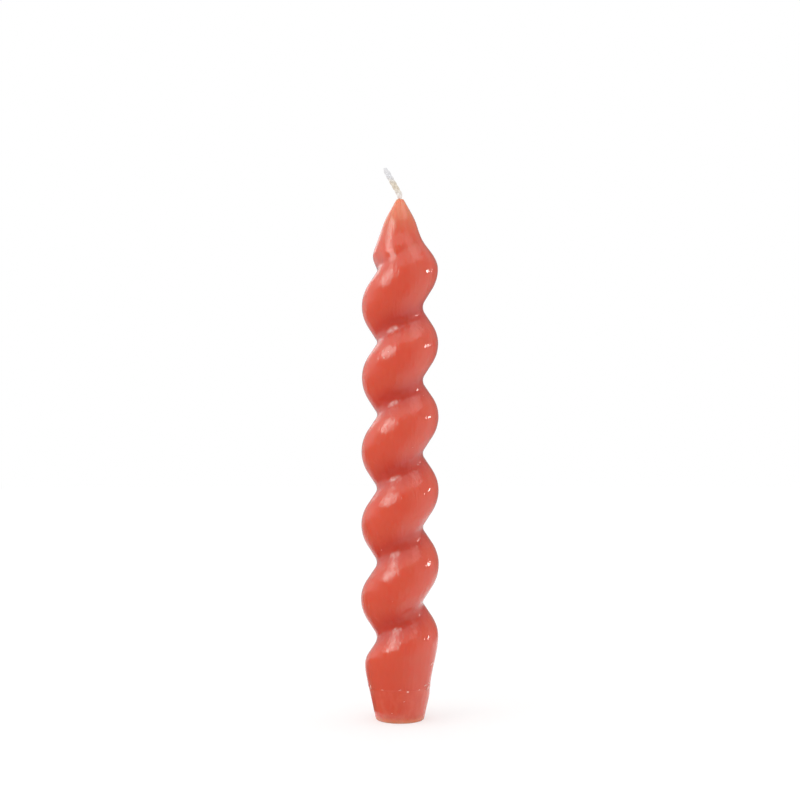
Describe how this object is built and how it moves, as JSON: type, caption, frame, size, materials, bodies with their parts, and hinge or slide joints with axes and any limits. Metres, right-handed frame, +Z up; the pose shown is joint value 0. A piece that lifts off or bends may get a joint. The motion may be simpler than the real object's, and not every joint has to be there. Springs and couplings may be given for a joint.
{
  "type": "twisted taper candle",
  "caption": "Slim coral dinner candle with a deep spiral twist, a pointed tip with a leaning plaited wick, and a tapered foot for a candle cup.",
  "frame": {"origin": "middle of the flat underside of the foot, on the candle's axis", "axes": "+Z up along the axis towards the tip; +X to the right and -Y towards the viewer of the picture; the wick leans towards -X"},
  "size_m": [0.0282, 0.0282, 0.2023],
  "materials": {
    "wax": "dyed paraffin wax, glossy, slightly translucent",
    "wick": "bleached cotton, plaited, lightly waxed"
  },
  "bodies": {
    "root": {"wax_body": "wax", "wick_ply_a": "wick", "wick_ply_b": "wick", "wick_ply_c": "wick"}
  },
  "joints": []
}
